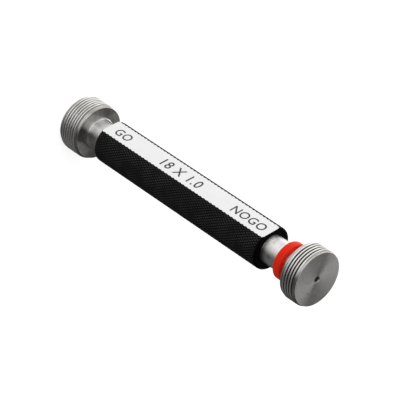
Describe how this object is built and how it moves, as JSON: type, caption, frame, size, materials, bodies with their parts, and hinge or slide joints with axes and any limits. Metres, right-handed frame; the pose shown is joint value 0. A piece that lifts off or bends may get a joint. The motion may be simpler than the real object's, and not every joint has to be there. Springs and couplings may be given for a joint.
{
  "type": "thread plug gauge",
  "caption": "Double-ended thread plug gauge: black knurled handle with a bright milled flat, a GO screw plug, and a shorter NOGO screw plug with a red ring on its neck.",
  "frame": {"origin": "centre of the GO plug's end face, on the axis of the gauge", "axes": "+Z along the axis from the GO plug to the NOGO plug; the milled flat of the handle faces -Y"},
  "size_m": [0.018, 0.018, 0.1044],
  "materials": {
    "handle_black": "black anodised and knurled, with one bright milled flat",
    "gauge_steel": "hardened steel, turned and ground",
    "red_ring": "smooth red plastic"
  },
  "bodies": {
    "root": {"handle": "handle_black", "go_member": "gauge_steel", "nogo_member": "gauge_steel", "nogo_marking_ring": "red_ring"}
  },
  "joints": []
}
